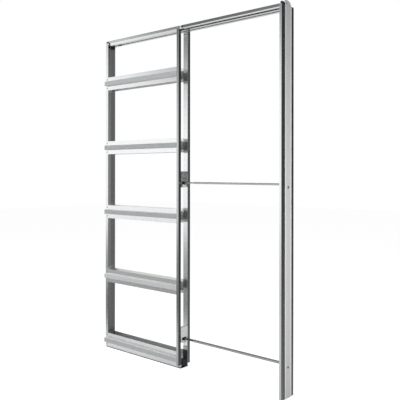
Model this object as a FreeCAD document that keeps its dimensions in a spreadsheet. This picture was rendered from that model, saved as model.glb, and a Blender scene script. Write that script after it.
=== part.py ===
"""Pocket door frame: a steel pocket that a sliding door runs into, beside its passage.

The frame stands on the floor at z = 0.  X runs along the wall, from the pocket (low X) to the
passage (high X), Y runs through the wall from front to rear, and Z is up.  The origin is the
middle of the frame's box, at floor level.
"""
import FreeCAD, Part
import os
import Sketcher

doc = FreeCAD.newDocument("pocket_door_frame")

# Driving sizes in millimetres
SIZES = {
    "passage_width": 730.0,       # clear way between the mouth posts and the strike jamb
    "pocket_length": 708.0,       # outer face of the back post to the passage face of the mouth posts
    "frame_height": 2095.0,       # floor to the top of the header
    "frame_depth": 106.0,         # front face to rear face of the pocket
    "door_seat": 61.0,            # clear depth inside the pocket
    "sheet_thickness": 1.2,       # folded steel sheet of posts, rails and channels
    "bend_radius": 1.4,           # inside radius of every fold
    "back_post_flange": 25.0,     # width of the back post's two flanges
    "mouth_post_web": 37.5,       # width of a mouth post's inner face
    "mouth_post_lip": 17.5,       # width of a mouth post's outer face
    "mouth_post_drop": 24.0,      # top of the mouth posts below the top of the header
    "mouth_post_lift": 20.0,      # foot of the mouth posts above the floor
    "rail_flange": 29.0,          # height of each flange of a rail
    "rail_crown": 30.0,           # height of the raised middle of a rail
    "rail_base": 9.0,             # underside of the lowest rail above the floor
    "rail_top_gap": 249.0,        # top of the highest rail below the top of the header
    "rail_setback": 12.0,         # rail's end inside the back post's outer face
    "rail_gap": 0.8,              # rail's end to the mouth post's lip
    "header_flange": 16.0,        # height of the header channel's flanges
    "header_gap": 20.0,           # end of the pocket's header before the passage's header
    "tie_width": 30.0,            # clips between the mouth posts and the track
    "tie_leg": 28.0,
    "tie_foot": 14.0,
    "tie_inset": 4.0,             # clip's edge behind the passage face of the post
    "track_width": 56.0,          # outside width of the track
    "track_height": 32.0,         # outside height of the track
    "track_wall": 3.0,            # wall of the track
    "track_ledge": 4.0,           # thickness of the two ledges that the rollers run on
    "track_slot": 14.0,           # slot between the ledges
    "track_groove_base": 1.5,     # underside of the groove along each side of the track
    "track_groove_height": 5.0,
    "track_groove_depth": 1.8,
    "track_inset": 45.0,          # closed end of the track inside the back post's outer face
    "stop_place": 100.0,          # buffer that stops the door, inside the back post's outer face
    "stop_length": 26.0,
    "stop_width": 12.0,           # stem of the buffer, in the track's slot
    "stop_drop": 4.0,             # stem below the track
    "stop_head_width": 32.0,      # head of the buffer, on the track's ledges
    "stop_head_height": 7.0,
    "jamb_depth": 119.0,          # front face to rear face of the strike jamb
    "jamb_flange": 14.0,          # width of the strike jamb's two flanges
    "jamb_drop": 12.0,            # top of the strike jamb below the top of the header
    "strip_width": 63.0,          # width of the strip along the jamb's outer face
    "strip_thickness": 3.5,
    "strip_rise": 12.5,           # top of the strip above the top of the header
    "strip_corner": 40.0,         # radius of the strip's rear top corner
    "strip_front_corner": 6.0,    # radius of its front top corner
    "strip_hole": 8.0,            # screw hole in the strip's top end
    "strip_hole_drop": 5.0,       # hole below the top of the header
    "strip_hole_offset": 20.0,    # hole in front of the strip's middle
    "middle_bar_height": 1133.0,  # axes of the two spacer bars above the floor
    "low_bar_height": 178.0,
    "bar_diameter": 12.0,         # tube of the middle bar
    "low_bar_diameter": 16.0,     # tube of the low bar
    "bar_wall": 1.5,              # wall of the tubes that the rods slide in
    "rod_reach": 82.0,            # rod showing between the mouth and the bar
    "rod_insert": 60.0,           # rod inside the bar
    "bar_play": 0.2,              # clearance round the rod, in the bar and in the socket
    "socket_width": 26.0,         # spacer block between the mouth posts, along the wall
    "socket_above": 70.0,         # top of the middle block above the bar's axis
    "socket_lintel": 7.0,         # underside of the middle block above the bar's axis
    "socket_collar": 58.0,        # round cradle below the block
    "socket_recess": 44.0,        # hollow of the cradle
    "socket_recess_depth": 19.0,
    "low_socket_above": 70.0,     # the same sizes of the low block
    "low_socket_lintel": 8.0,
    "low_socket_collar": 56.0,
    "low_socket_recess": 40.0,
    "socket_bore_depth": 24.0,    # rod's end behind the passage face of the posts
    "end_plate_width": 34.0,      # plate that carries a bar on the jamb
    "end_plate_thickness": 2.0,
    "end_plate_above": 14.0,      # plate above the bar's axis
    "end_plate_below": 27.0,      # plate below the bar's axis
    "fixing_hole": 14.0,          # holes through the jamb for its wall screws
    "fixing_drop": 15.0,          # holes below the bars' axes
    "foot_height": 105.0,         # floor bracket between the mouth posts
    "foot_width": 34.0,
    "foot_sheet": 2.0,
    "guide_block_depth": 40.0,    # block in the floor bracket, against its rear leg
    "guide_block_width": 32.0,
    "guide_block_height": 118.0,
    "guide_base_height": 44.0,    # low front part of the block
    "guide_wall": 5.0,            # tall rear part of the block
    "guide_edge": 2.0,            # rounding between the two parts
}
RAIL_COUNT = 5

sheet = doc.addObject("Spreadsheet::Sheet", "sizes")
for row, (alias, value) in enumerate(SIZES.items(), start=1):
    sheet.set("A%d" % row, alias)
    sheet.set("B%d" % row, str(value))
    sheet.setAlias("B%d" % row, alias)
doc.recompute()


def size(text):
    """Return an expression in which every word names a cell of the sheet."""
    words = text.replace("(", " ( ").replace(")", " ) ").split()
    return " ".join("sizes." + word if word in SIZES else word for word in words)


def join(*terms):
    """Add expressions up."""
    return " + ".join("( %s )" % term for term in terms)


# Places along the wall, as expressions
TOTAL = "pocket_length + passage_width + jamb_flange + strip_thickness"
LEFT = "0 - ( %s ) / 2" % TOTAL
MOUTH = join(LEFT, "pocket_length")
JAMB = join(MOUTH, "passage_width")
WEB_FACE = join(JAMB, "jamb_flange - sheet_thickness")
TRACK_BASE = "frame_height - sheet_thickness - track_height"

# Depths, as expressions: one side of the pocket, a rail's hat and the back post
SIDE = "( frame_depth - door_seat ) / 2"
HAT = join(SIDE, "0 - sheet_thickness")
BACK_DEPTH = "door_seat + 2 * sheet_thickness"
RAIL_HEIGHT = "2 * rail_flange + rail_crown"
RAIL_PITCH = "( frame_height - rail_top_gap - rail_base - 2 * rail_flange - rail_crown ) / %d" % (RAIL_COUNT - 1)

nodes = []


def keep(node, label):
    """Give a finished sub-part its name and list it for writing."""
    node.Label = label
    nodes.append(node)
    return node


def place(node, x="0", y="0", z="0"):
    """Bind a sub-part's place to expressions."""
    for axis, text in (("x", x), ("y", y), ("z", z)):
        node.setExpression("Placement.Base." + axis, size(text))


def outline(sketch, points):
    """Draw a closed outline whose corners are bound to pairs of expressions."""
    count = len(points)
    for index in range(count):
        turn = FreeCAD.Rotation(FreeCAD.Vector(0, 0, 1), 360.0 * index / count)
        following = FreeCAD.Rotation(FreeCAD.Vector(0, 0, 1), 360.0 * (index + 1) / count)
        start = turn.multVec(FreeCAD.Vector(10, 0, 0))
        sketch.addGeometry(Part.LineSegment(start, following.multVec(FreeCAD.Vector(10, 0, 0))))
    for index in range(count):
        sketch.addConstraint(Sketcher.Constraint("Coincident", index, 2, (index + 1) % count, 1))
    for index, corner in enumerate(points):
        for kind, axis_line, text in (("DistanceX", -2, corner[0]), ("DistanceY", -1, corner[1])):
            if text == "0":
                sketch.addConstraint(Sketcher.Constraint("PointOnObject", index, 1, axis_line))
            else:
                number = sketch.addConstraint(Sketcher.Constraint(kind, -1, 1, index, 1, 10.0))
                sketch.setExpression("Constraints[%d]" % number, size(text))


def profile(label, plane_role, points, length):
    """Pad an outline on one of the body's origin planes into a straight profile."""
    body = doc.addObject("PartDesign::Body", label)
    plane = [item for item in body.Origin.OriginFeatures if item.Role == plane_role][0]
    sketch = body.newObject("Sketcher::SketchObject", label + "_section")
    sketch.AttachmentSupport = [(plane, "")]
    sketch.MapMode = "FlatFace"
    outline(sketch, points)
    pad = body.newObject("PartDesign::Pad", label + "_pad")
    pad.Profile = sketch
    pad.setExpression("Length", size(length))
    return body


def soften(body, corners, radius, label):
    """Round the long edges that start from some corners of the body's section."""
    doc.recompute()
    base = body.Tip
    sketch = [item for item in body.Group if item.TypeId == "Sketcher::SketchObject"][0]
    along = sketch.Placement.Rotation.multVec(FreeCAD.Vector(0, 0, 1))
    spots = [sketch.Placement.multVec(sketch.Geometry[number].StartPoint) for number in corners]
    names = []
    for number, edge in enumerate(base.Shape.Edges, start=1):
        straight = edge.Curve.TypeId == "Part::GeomLine" and abs(edge.Curve.Direction.dot(along)) > 0.999
        if straight and any(edge.Vertexes[0].Point.isEqual(spot, 0.001)
                            or edge.Vertexes[-1].Point.isEqual(spot, 0.001) for spot in spots):
            names.append("Edge%d" % number)
    fillet = body.newObject("PartDesign::Fillet", label)
    fillet.Base = (base, names)
    fillet.setExpression("Radius", size(radius))


# Headings of a sheet's segments, and the direction of its thickness, which is laid to the left
HEADINGS = {"+x": (1, 0), "-x": (-1, 0), "+y": (0, 1), "-y": (0, -1)}


def folded(label, plane_role, path, headings, length, wall="sheet_thickness"):
    """Fold a sheet along a path of corners: pad its section and round every bend inside and out."""
    steps = [HEADINGS[heading] for heading in headings]
    lefts = [(-step[1], step[0]) for step in steps]
    offset = []
    for number, corner in enumerate(path):
        sides = lefts[max(number - 1, 0):number + 1]
        moved = []
        for axis in (0, 1):
            shift = max([side[axis] for side in sides], key=abs)
            moved.append("%s + %d * %s" % (corner[axis], shift, wall) if shift else corner[axis])
        offset.append(tuple(moved))
    body = profile(label, plane_role, path + offset[::-1], length)
    outer, inner = [], []
    last = 2 * len(path) - 1
    for number in range(1, len(path) - 1):
        before, after = steps[number - 1], steps[number]
        left_turn = before[0] * after[1] - before[1] * after[0] > 0
        outer.append(number if left_turn else last - number)
        inner.append(last - number if left_turn else number)
    soften(body, outer, "bend_radius + " + wall, label + "_bends_outside")
    soften(body, inner, "bend_radius", label + "_bends_inside")
    return body


def box(label, length, width, height):
    """Make a block whose three sizes are expressions."""
    block = doc.addObject("Part::Box", label)
    block.setExpression("Length", size(length))
    block.setExpression("Width", size(width))
    block.setExpression("Height", size(height))
    return block


def rod(label, diameter, length):
    """Make a round rod along X."""
    cylinder = doc.addObject("Part::Cylinder", label)
    cylinder.Placement = FreeCAD.Placement(FreeCAD.Vector(), FreeCAD.Rotation(FreeCAD.Vector(0, 1, 0), 90))
    cylinder.setExpression("Radius", size("( %s ) / 2" % diameter))
    cylinder.setExpression("Height", size(length))
    return cylinder


def cut(label, base, tool):
    """Take the tool away from the base."""
    result = doc.addObject("Part::Cut", label)
    result.Base = base
    result.Tool = tool
    return result


def fuse(label, base, tool):
    """Join two blocks."""
    result = doc.addObject("Part::Fuse", label)
    result.Base = base
    result.Tool = tool
    return result


def add_back_post():
    """The upright at the closed end of the pocket, a channel open towards the mouth."""
    flange = "back_post_flange"
    path = [(flange, BACK_DEPTH), ("0", BACK_DEPTH), ("0", "0"), (flange, "0")]
    post = folded("back_post", "XY_Plane", path, ("-x", "-y", "+x"),
                  "frame_height - header_flange")
    place(post, LEFT, "0 - ( %s ) / 2" % BACK_DEPTH)
    keep(post, "back_post")


def add_mouth_posts():
    """The two uprights at the pocket's mouth: inner face, passage face and a lip at the outside."""
    web = "mouth_post_web"
    lip = "mouth_post_web - mouth_post_lip"
    front = [(lip, "0"), (web, "0"), (web, SIDE), ("0", SIDE)]
    rear = [("0", "0"), (web, "0"), (web, SIDE), (lip, SIDE)]
    height = "frame_height - mouth_post_drop - mouth_post_lift"
    for label, path, depth in (("mouth_post_front", front, "0 - frame_depth / 2"),
                               ("mouth_post_rear", rear, "door_seat / 2")):
        post = folded(label, "XY_Plane", path, ("+x", "+y", "-x"), height)
        place(post, join(MOUTH, "0 - " + web), depth, "mouth_post_lift")
        keep(post, label)


def add_rails():
    """Five hat-shaped rails on each side of the pocket, their raised middles facing outwards."""
    wall = "sheet_thickness"
    low = "rail_flange + " + wall
    high = "rail_flange + rail_crown - " + wall
    back = join(HAT, "0 - " + wall)
    front = [(HAT, "0"), (HAT, low), (wall, low), (wall, high), (HAT, high), (HAT, RAIL_HEIGHT)]
    rear = [("0", RAIL_HEIGHT), ("0", high), (back, high), (back, low), ("0", low), ("0", "0")]
    length = "pocket_length - rail_setback - mouth_post_lip - rail_gap"
    for number in range(1, RAIL_COUNT + 1):
        height = "rail_base + %d * %s" % (number - 1, RAIL_PITCH)
        for side, path, turns, depth in (
                ("front", front, ("+y", "-x", "+y", "+x", "+y"), "0 - frame_depth / 2"),
                ("rear", rear, ("-y", "+x", "-y", "-x", "-y"), "door_seat / 2 + sheet_thickness")):
            label = "rail_%s_%d" % (side, number)
            rail = folded(label, "YZ_Plane", path, turns, length)
            place(rail, join(LEFT, "rail_setback"), depth, height)
            keep(rail, label)


def add_header():
    """The header channel over the pocket and over the passage, and the roller track inside it."""
    width = "door_seat"
    flange = "header_flange"
    path = [(width, "0"), (width, flange), ("0", flange), ("0", "0")]
    spans = (("header_pocket", LEFT, "pocket_length - header_gap"),
             ("header_passage", MOUTH, "passage_width + jamb_flange - sheet_thickness"))
    for label, start, length in spans:
        header = folded(label, "YZ_Plane", path, ("+y", "-x", "-y"), length)
        place(header, start, "0 - door_seat / 2", "frame_height - header_flange")
        keep(header, label)

    thick = "track_wall"
    ledge = "track_ledge"
    near = "( track_width - track_slot ) / 2"
    far = "( track_width + track_slot ) / 2"
    inside = "track_width - track_wall"
    roof = "track_height - track_wall"
    low = "track_groove_base"
    high = "track_groove_base + track_groove_height"
    groove = "track_width - track_groove_depth"
    corners = [("0", "0"), (near, "0"), (near, ledge), (thick, ledge), (thick, roof), (inside, roof),
               (inside, ledge), (far, ledge), (far, "0"), ("track_width", "0"), ("track_width", low),
               (groove, low), (groove, high), ("track_width", high), ("track_width", "track_height"),
               ("0", "track_height"), ("0", high), ("track_groove_depth", high),
               ("track_groove_depth", low), ("0", low)]
    length = "pocket_length + passage_width + jamb_flange - track_inset - sheet_thickness"
    track = profile("track", "YZ_Plane", corners, length)
    place(track, join(LEFT, "track_inset"), "0 - track_width / 2", TRACK_BASE)
    keep(track, "track")


def add_door_stop():
    """The buffer that hangs in the track's slot, with its head on the ledges."""
    start = join(LEFT, "stop_place")
    head = box("stop_head", "stop_length", "stop_head_width", "stop_head_height")
    place(head, start, "0 - stop_head_width / 2", join(TRACK_BASE, "track_ledge"))
    stem = box("stop_stem", "stop_length", "stop_width", "stop_drop + track_ledge + stop_head_height")
    place(stem, start, "0 - stop_width / 2", join(TRACK_BASE, "0 - stop_drop"))
    keep(fuse("door_stop", head, stem), "door_stop")


def add_ties():
    """Two folded clips: a leg on each mouth post's inner face and a foot under the track."""
    start = join(MOUTH, "0 - tie_inset - tie_width")
    front = [("tie_foot", "tie_leg"), ("0", "tie_leg"), ("0", "0")]
    rear = [("tie_foot", "0"), ("tie_foot", "tie_leg"), ("0", "tie_leg")]
    for label, path, turns, depth in (
            ("post_tie_front", front, ("-x", "-y"), "0 - door_seat / 2"),
            ("post_tie_rear", rear, ("+y", "-x"), "door_seat / 2 - tie_foot")):
        tie = folded(label, "YZ_Plane", path, turns, "tie_width")
        place(tie, start, depth, join(TRACK_BASE, "0 - tie_leg"))
        keep(tie, label)


def add_jamb():
    """The strike jamb: a shallow channel open to the passage, with a strip along its outer face."""
    flange = "jamb_flange"
    depth = "jamb_depth"
    path = [("0", "0"), (flange, "0"), (flange, depth), ("0", depth)]
    blank = folded("jamb_blank", "XY_Plane", path, ("+x", "+y", "-x"), "frame_height - jamb_drop")
    place(blank, JAMB, "0 - jamb_depth / 2")
    keep(cut("jamb_channel", blank, fixing_holes("jamb_channel_holes")), "jamb_channel")

    top = "frame_height + strip_rise"
    corners = [("0", "0"), ("strip_width", "0"), ("strip_width", top), ("0", top)]
    strip = profile("strip_blank", "YZ_Plane", corners, "strip_thickness")
    soften(strip, (2,), "strip_corner", "strip_rear_corner_round")
    soften(strip, (3,), "strip_front_corner", "strip_front_corner_round")
    place(strip, join(JAMB, "jamb_flange"), "0 - strip_width / 2")
    drilled = cut("strip_drilled", strip, fixing_holes("jamb_strip_holes"))
    drill = rod("strip_top_drill", "strip_hole", "3 * strip_thickness")
    place(drill, join(JAMB, "jamb_flange - strip_thickness"), "0 - strip_hole_offset", "frame_height - strip_hole_drop")
    keep(cut("jamb_strip", drilled, drill), "jamb_strip")


def fixing_holes(label):
    """Make the two drills for the wall screws, through the jamb, its strip and the bars' plates."""
    drills = []
    for height in ("middle_bar_height", "low_bar_height"):
        drill = rod(label + "_" + height, "fixing_hole", "3 * jamb_flange + strip_thickness")
        place(drill, join(JAMB, "0 - jamb_flange"), "0", height + " - fixing_drop")
        drills.append(drill)
    return fuse(label, drills[0], drills[1])


def add_spacer_bar(name, height, prefix):
    """One bar across the passage: socket block in the mouth, rod, tube and plate on the jamb."""
    hole = prefix + "bar_diameter - 2 * bar_wall"
    back = join(MOUTH, "0 - socket_width")
    lintel = join(height, prefix + "socket_lintel")
    block = box(name + "_block", "socket_width", "door_seat", "%ssocket_above - %ssocket_lintel" % (prefix, prefix))
    place(block, back, "0 - door_seat / 2", lintel)
    collar = rod(name + "_collar", prefix + "socket_collar", "socket_width")
    place(collar, back, "0", height)
    recess = rod(name + "_recess", prefix + "socket_recess", "2 * socket_recess_depth")
    place(recess, join(MOUTH, "0 - socket_recess_depth"), "0", height)
    body = fuse(name + "_socket_body", cut(name + "_cradle", collar, recess), block)
    bore = rod(name + "_bore", hole, "2 * socket_bore_depth")
    place(bore, join(MOUTH, "0 - socket_bore_depth"), "0", height)
    keep(cut(name + "_socket", body, bore), name + "_socket")

    inner_rod = rod(name + "_rod", hole + " - 2 * bar_play", "socket_bore_depth + rod_reach + rod_insert")
    place(inner_rod, join(MOUTH, "0 - socket_bore_depth"), "0", height)
    keep(inner_rod, name + "_rod")

    length = "passage_width - rod_reach + jamb_flange - sheet_thickness - end_plate_thickness"
    start = join(MOUTH, "rod_reach")
    outside = rod(name + "_outside", prefix + "bar_diameter", length)
    inside = rod(name + "_inside", hole, length)
    for piece in (outside, inside):
        place(piece, start, "0", height)
    keep(cut(name + "_bar", outside, inside), name + "_bar")

    plate = box(name + "_plate_blank", "end_plate_thickness", "end_plate_width",
                "end_plate_above + end_plate_below")
    place(plate, join(WEB_FACE, "0 - end_plate_thickness"), "0 - end_plate_width / 2",
          height + " - end_plate_below")
    drill = rod(name + "_plate_drill", "fixing_hole", "3 * end_plate_thickness")
    place(drill, join(WEB_FACE, "0 - 2 * end_plate_thickness"), "0", height + " - fixing_drop")
    keep(cut(name + "_end_plate", plate, drill), name + "_end_plate")


def add_foot():
    """The floor bracket that ties the mouth posts together, and the block that stands in it."""
    tall = "foot_height"
    path = [("0", tall), ("0", "0"), ("door_seat", "0"), ("door_seat", tall)]
    bracket = folded("floor_bracket", "YZ_Plane", path, ("-y", "+x", "+y"), "foot_width", "foot_sheet")
    place(bracket, join(MOUTH, "0 - foot_width"), "0 - door_seat / 2")
    keep(bracket, "floor_bracket")
    step = "guide_block_depth - guide_wall"
    corners = [("0", "0"), ("guide_block_depth", "0"), ("guide_block_depth", "guide_block_height"),
               (step, "guide_block_height"), (step, "guide_base_height"), ("0", "guide_base_height")]
    block = profile("guide_block", "YZ_Plane", corners, "guide_block_width")
    soften(block, (4, 5), "guide_edge", "guide_edges")
    place(block, join(MOUTH, "0 - ( foot_width + guide_block_width ) / 2"),
          "door_seat / 2 - foot_sheet - guide_block_depth", "foot_sheet")
    keep(block, "guide_block")


add_back_post()
add_mouth_posts()
add_rails()
add_header()
add_jamb()
add_door_stop()
add_ties()
add_spacer_bar("middle", "middle_bar_height", "")
add_spacer_bar("low", "low_bar_height", "low_")
add_foot()
doc.recompute()

for item in doc.Objects:
    if "Invalid" in item.State or "Error" in item.State:
        raise RuntimeError("%s failed: %s" % (item.Label, item.State))
for node in nodes:
    if node.Shape.isNull() or not node.Shape.isValid() or len(node.Shape.Solids) != 1:
        raise RuntimeError("%s has no valid single solid" % node.Label)

os.makedirs("parts", exist_ok=True)
for node in nodes:
    node.Shape.exportStep("parts/%s.step" % node.Label)
print("%d sub-parts written" % len(nodes))
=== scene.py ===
# %% [markdown]
# A pocket door frame is a flat steel cage that is built into a wall. The door leaf slides into its
# left half, the pocket, and the right half is the passage. The exact solids come from CAD, and this
# file dresses them: finishes for every sheet, bar and block, the small fasteners, light and camera.
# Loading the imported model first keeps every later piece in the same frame, in metres.

import math
import bpy
import numpy as np
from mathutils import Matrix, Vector


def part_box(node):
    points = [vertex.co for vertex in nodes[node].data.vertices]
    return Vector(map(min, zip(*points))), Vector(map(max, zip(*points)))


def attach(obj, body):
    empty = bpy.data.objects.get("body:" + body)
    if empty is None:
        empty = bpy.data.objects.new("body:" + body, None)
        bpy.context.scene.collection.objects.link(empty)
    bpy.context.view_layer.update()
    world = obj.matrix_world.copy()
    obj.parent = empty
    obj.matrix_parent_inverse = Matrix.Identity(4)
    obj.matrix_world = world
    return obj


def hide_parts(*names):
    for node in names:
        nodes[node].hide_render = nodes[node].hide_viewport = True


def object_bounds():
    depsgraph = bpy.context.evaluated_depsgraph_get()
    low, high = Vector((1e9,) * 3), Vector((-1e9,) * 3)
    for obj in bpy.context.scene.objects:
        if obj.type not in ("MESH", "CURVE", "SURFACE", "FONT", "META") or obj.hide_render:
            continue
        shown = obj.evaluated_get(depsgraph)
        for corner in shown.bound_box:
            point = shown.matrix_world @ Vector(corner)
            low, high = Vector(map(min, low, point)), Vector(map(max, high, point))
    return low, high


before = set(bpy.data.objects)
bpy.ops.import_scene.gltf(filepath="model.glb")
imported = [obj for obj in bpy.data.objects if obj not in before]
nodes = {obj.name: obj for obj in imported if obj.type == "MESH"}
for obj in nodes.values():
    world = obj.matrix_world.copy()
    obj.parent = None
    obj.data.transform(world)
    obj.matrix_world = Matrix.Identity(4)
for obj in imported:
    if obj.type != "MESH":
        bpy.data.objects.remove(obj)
cad_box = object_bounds()
print("loaded", len(nodes), "sub-parts, box", cad_box)

# %% [markdown]
# The camera comes before the looks, because a finish is judged from where it is seen. The uprights
# in the photograph stay parallel, so the camera is level and its film is shifted down, as an
# architect's camera does. Its place was solved from the lines of the header, rails and floor.

# %% Camera
CAMERA_PLACE = (2.4269, -2.6611, 1.1959)
CAMERA_TURN = math.radians(41.157)
CAMERA_ROLL = math.radians(0.06)
FOCAL_PIXELS = 588.66
IMAGE_SIDE = 400
SENSOR = 36.0
FILM_RIGHT, FILM_UP = 0.0018, -0.0687

lens = bpy.data.cameras.new("camera")
lens.sensor_width = SENSOR
lens.lens = FOCAL_PIXELS / IMAGE_SIDE * SENSOR
lens.shift_x = FILM_RIGHT
lens.shift_y = FILM_UP
camera = bpy.data.objects.new("camera", lens)
camera.location = CAMERA_PLACE
camera.rotation_euler = (math.radians(90), -CAMERA_ROLL, CAMERA_TURN)
bpy.context.scene.collection.objects.link(camera)
bpy.context.scene.camera = camera
print("camera lens", round(lens.lens, 2), "mm")

# %% [markdown]
# Worlds and finishes in Blender are graphs of nodes. They could be laid out by hand in the node editor,
# but in code every number stays in sight. One helper adds a node and links its inputs, and the others
# wrap the steps that come back everywhere: arithmetic, a smooth step, a blend and a ramp of greys.

# %% Helpers for nodes
def put(tree, kind, settings=None, **inputs):
    """Add one node: settings are its own fields, inputs its sockets, a value or a linked output."""
    item = tree.nodes.new(kind)
    for field, value in (settings or {}).items():
        setattr(item, field, value)
    for name, value in inputs.items():
        key = int(name[1:]) if name[0] == "_" else name.replace("_", " ")
        socket = item.inputs[key]
        if isinstance(value, bpy.types.NodeSocket):
            tree.links.new(value, socket)
        else:
            socket.default_value = value
    return item


def figure(tree, operation, *values):
    """One step of arithmetic on sockets or plain numbers."""
    inputs = {"_%d" % index: value for index, value in enumerate(values)}
    return put(tree, "ShaderNodeMath", {"operation": operation}, **inputs).outputs[0]


def smooth(tree, value, start, full):
    """A smooth step of a value: 0 below the start, 1 above full."""
    return put(tree, "ShaderNodeMapRange", {"interpolation_type": "SMOOTHSTEP"},
               Value=value, From_Min=start, From_Max=full).outputs["Result"]


def mix(tree, fac, first, second, kind="MIX"):
    """Blend two colours by a factor, or with the kind MULTIPLY tint the first by the second."""
    pair = [value if isinstance(value, bpy.types.NodeSocket) else (*value, 1) for value in (first, second)]
    return put(tree, "ShaderNodeMix", {"data_type": "RGBA", "blend_type": kind},
               _0=fac, _6=pair[0], _7=pair[1]).outputs[2]


def ramp(tree, fac, stops):
    """A colour ramp of plain greys: each stop is a place from 0 to 1 and its brightness."""
    item = put(tree, "ShaderNodeValToRGB", Fac=fac)
    while len(item.color_ramp.elements) < len(stops):
        item.color_ramp.elements.new(0.5)
    for element, (place, grey) in zip(item.color_ramp.elements, stops):
        element.position = place
        element.color = (grey, grey, grey, 1)
    return item.outputs["Color"]


print("helpers for nodes are ready")

# %% [markdown]
# Bright sheet metal has almost no colour of its own: it shows the room. So the room is drawn with
# care, as a world whose brightness depends on the direction looked in. A ramp over the elevation gives
# each wall of the studio its profile, and a dot product with that wall's heading says how far it reaches
# round. A picture of a real studio would do as well, but it could not be changed one wall at a time.

# %% A world seen by direction
bpy.context.scene.view_settings.view_transform = "Standard"
world = bpy.data.worlds.new("studio")
bpy.context.scene.world = world
world.use_nodes = True
sky = world.node_tree
sky.nodes.clear()
direction = put(sky, "ShaderNodeTexCoord").outputs["Generated"]
upward = put(sky, "ShaderNodeSeparateXYZ", Vector=direction).outputs["Z"]


def towards(heading):
    """The dot product of the direction looked in with a level heading."""
    angle = math.radians(heading)
    wall = (math.cos(angle), math.sin(angle), 0)
    along = put(sky, "ShaderNodeVectorMath", {"operation": "DOT_PRODUCT"}, _0=direction, _1=wall)
    return along.outputs["Value"]


def wall_tone(stops, rise=upward):
    """A ramp over the sine of elevation, which is moved from -1 to 1 onto 0 to 1."""
    places = [(0.5 + 0.5 * math.sin(math.radians(angle)), grey) for angle, grey in stops]
    return ramp(sky, figure(sky, "MULTIPLY_ADD", rise, 0.5, 0.5), places)


print("world", world.name, "by direction,", len(sky.nodes), "nodes so far")

# %% [markdown]
# The lit wall has a slanted top. Where the pocket mirrors its foot, a dark stand with bright edges crosses
# it. The rest of the room is dark and gets paler towards the floor, with a little fill from one side and
# from behind the camera. The backdrop is white above the floor, and the camera itself sees plain white
# everywhere. Each wall is blended over the ones before it.

# %% Walls of the studio
# Each profile is a list of pairs: elevation in degrees, brightness
FLOOR_GLOW = [(-60, 0.35), (-25, 0.55), (-20, 0.63), (-16, 0.70), (-11, 0.76), (-7, 0.90), (-4, 1.10),
              (40, 1.20)]
FLOOR_STAND = [(-60, 0.40), (-19, 0.50), (-18, 0.66), (-17.2, 1.00), (-16.2, 1.20), (-15.4, 1.30),
               (-14.8, 0.70), (-13.8, 0.10), (-11.4, 0.07), (-10.7, 0.50), (-10.1, 0.70), (-9.6, 0.52),
               (-8.9, 0.22), (-8.2, 0.28), (-7.3, 0.56), (-6.2, 0.80), (-5.0, 1.06), (-4.5, 1.16),
               (40, 1.20)]
SOFTBOX_TOP = [(-10, 1.0), (4, 1.0), (6.2, 0.72), (7.6, 0.60), (9, 0.42), (11, 0.22), (13, 0.15),
               (35, 0.17), (70, 0.40)]
DARK_WALL = [(-60, 0.55), (-32, 0.48), (-26, 0.36), (-21, 0.17), (-16, 0.115), (-10, 0.07), (0, 0.045),
             (15, 0.035), (40, 0.15), (70, 0.50)]
BACKDROP = [(-60, 0.55), (-10, 0.70), (0, 1.0), (60, 1.0)]
SIDE_FILL = [(-60, 0.34), (0, 0.55), (40, 0.40), (70, 0.50)]
CAMERA_SIDE = [(-60, 0.28), (-20, 0.20), (20, 0.20), (40, 0.22), (70, 0.50)]
# Headings of the walls in degrees, and the dot products at which each begins and is full
SOFTBOX_HEADING, SOFTBOX_REACH = 229.0, (0.45, 0.92)
SIDE_HEADING, SIDE_REACH = 20.0, (0.90, 0.985)
CAMERA_HEADING, CAMERA_REACH = 318.0, (0.80, 0.97)
BACKDROP_HEADING, BACKDROP_REACH = 131.4, (0.60, 0.95)
SOFTBOX_SLOPE = 0.66
STAND_EDGE = (0.05, 0.12)

aside = towards(SOFTBOX_HEADING + 90)
glow = mix(sky, smooth(sky, aside, *STAND_EDGE), wall_tone(FLOOR_STAND), wall_tone(FLOOR_GLOW))
slanted = figure(sky, "MULTIPLY_ADD", figure(sky, "ABSOLUTE", aside), -SOFTBOX_SLOPE, upward)
softbox = mix(sky, 1.0, glow, wall_tone(SOFTBOX_TOP, slanted), "MULTIPLY")
room = wall_tone(DARK_WALL)
walls = ((CAMERA_HEADING, CAMERA_REACH, wall_tone(CAMERA_SIDE)),
         (SIDE_HEADING, SIDE_REACH, wall_tone(SIDE_FILL)),
         (SOFTBOX_HEADING, SOFTBOX_REACH, softbox),
         (BACKDROP_HEADING, BACKDROP_REACH, wall_tone(BACKDROP)))
for heading, span, tone in walls:
    room = mix(sky, smooth(sky, towards(heading), *span), room, tone)
camera_ray = put(sky, "ShaderNodeLightPath").outputs["Is Camera Ray"]
backing = put(sky, "ShaderNodeBackground", Color=mix(sky, camera_ray, room, (1, 1, 1)))
put(sky, "ShaderNodeOutputWorld", Surface=backing.outputs[0])
print("studio:", len(walls), "walls,", len(sky.nodes), "nodes")

# %% [markdown]
# Two soft rectangular lamps light what isn't a mirror: the plastic blocks, the matt strip and the floor.
# They are kept out of reflections, because the steel already shows the studio's walls.

# %% Lamps
def soft_lamp(name, place, aim, wide, tall, power):
    """A rectangular area lamp at a place, turned towards an aim."""
    lamp = bpy.data.lights.new(name, "AREA")
    lamp.shape = "RECTANGLE"
    lamp.size = wide
    lamp.size_y = tall
    lamp.energy = power
    item = bpy.data.objects.new(name, lamp)
    item.location = place
    item.rotation_euler = (Vector(aim) - Vector(place)).to_track_quat("-Z", "Y").to_euler()
    item.visible_glossy = False
    bpy.context.scene.collection.objects.link(item)


soft_lamp("key_lamp", place=(-1.5, -3.0, 3.2), aim=(0, 0, 1.0), wide=2.0, tall=2.0, power=90)
soft_lamp("side_lamp", place=(1.9, -0.6, 0.98), aim=(0.7, 0, 0.98), wide=0.8, tall=1.8, power=24)

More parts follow.
